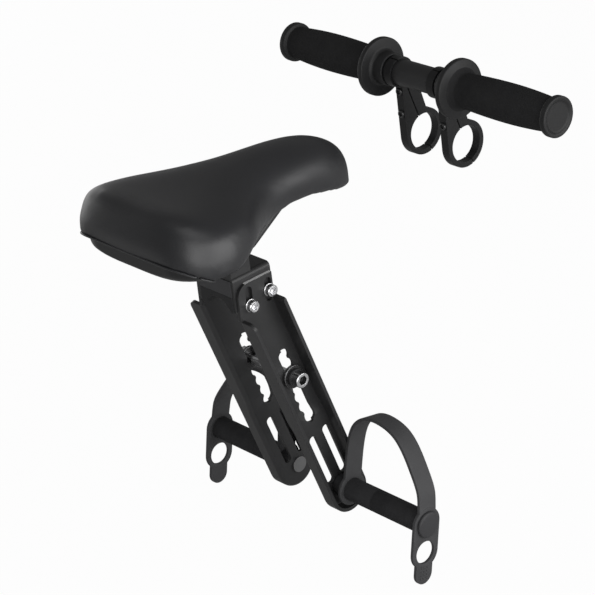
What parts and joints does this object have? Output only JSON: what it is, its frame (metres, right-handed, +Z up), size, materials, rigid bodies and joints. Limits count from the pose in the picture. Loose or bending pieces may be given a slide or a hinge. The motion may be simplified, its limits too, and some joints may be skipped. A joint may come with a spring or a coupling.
{
  "type": "front-mounted child bike seat",
  "caption": "Child bike seat for the top tube: padded saddle on a folded steel bracket, channel legs with foot pegs and rubber straps, and a matching mini handlebar on split clamps.",
  "frame": {"origin": "on the axis of the bicycle's top tube, under the middle of the seat bracket", "axes": "+X forward along the top tube, +Y to the rider's left, +Z up out of the tube"},
  "size_m": [0.3514, 0.3092, 0.3795],
  "materials": {
    "leatherette": "matte dark grey, fine grain, soft sheen",
    "base_plastic": "smooth black moulded plastic",
    "painted_steel": "satin black paint",
    "bright_steel": "bright zinc plate",
    "black_steel": "black oxide",
    "bush_rubber": "matte black",
    "rest_plastic": "matte dark grey",
    "rest_rubber": "matte dark grey",
    "peg_metal": "plain",
    "peg_foam": "matte black foam",
    "cap_plastic": "matte black",
    "strap_rubber": "matte dark grey",
    "bar_metal": "satin black",
    "grip_rubber": "matte black, soft sheen",
    "clamp_plastic": "satin black"
  },
  "bodies": {
    "root": {"saddle_cover": "leatherette", "saddle_base": "base_plastic", "saddle_rails": "painted_steel", "rail_clamp_lower": "painted_steel", "rail_clamp_upper": "painted_steel", "rail_clamp_bolt": "bright_steel", "rail_clamp_nut": "bright_steel", "seat_bracket": "painted_steel", "rest_block": "rest_plastic", "rest_pad": "rest_rubber", "leg_right": "painted_steel", "leg_left": "painted_steel", "leg_bolts": "bright_steel", "through_bolt": "bright_steel", "through_nut": "bright_steel", "through_washers": "black_steel", "through_bushes": "bush_rubber", "peg_core_right": "peg_metal", "peg_core_left": "peg_metal", "peg_sleeve_right": "peg_foam", "peg_sleeve_left": "peg_foam", "peg_cap_right": "cap_plastic", "peg_cap_left": "cap_plastic", "strap_right": "strap_rubber", "strap_left": "strap_rubber", "bar_tube": "bar_metal", "grip_right": "grip_rubber", "grip_left": "grip_rubber", "clamp_rear_right": "clamp_plastic", "clamp_rear_left": "clamp_plastic", "clamp_front_right": "clamp_plastic", "clamp_front_left": "clamp_plastic", "clamp_screws": "black_steel"}
  },
  "joints": []
}
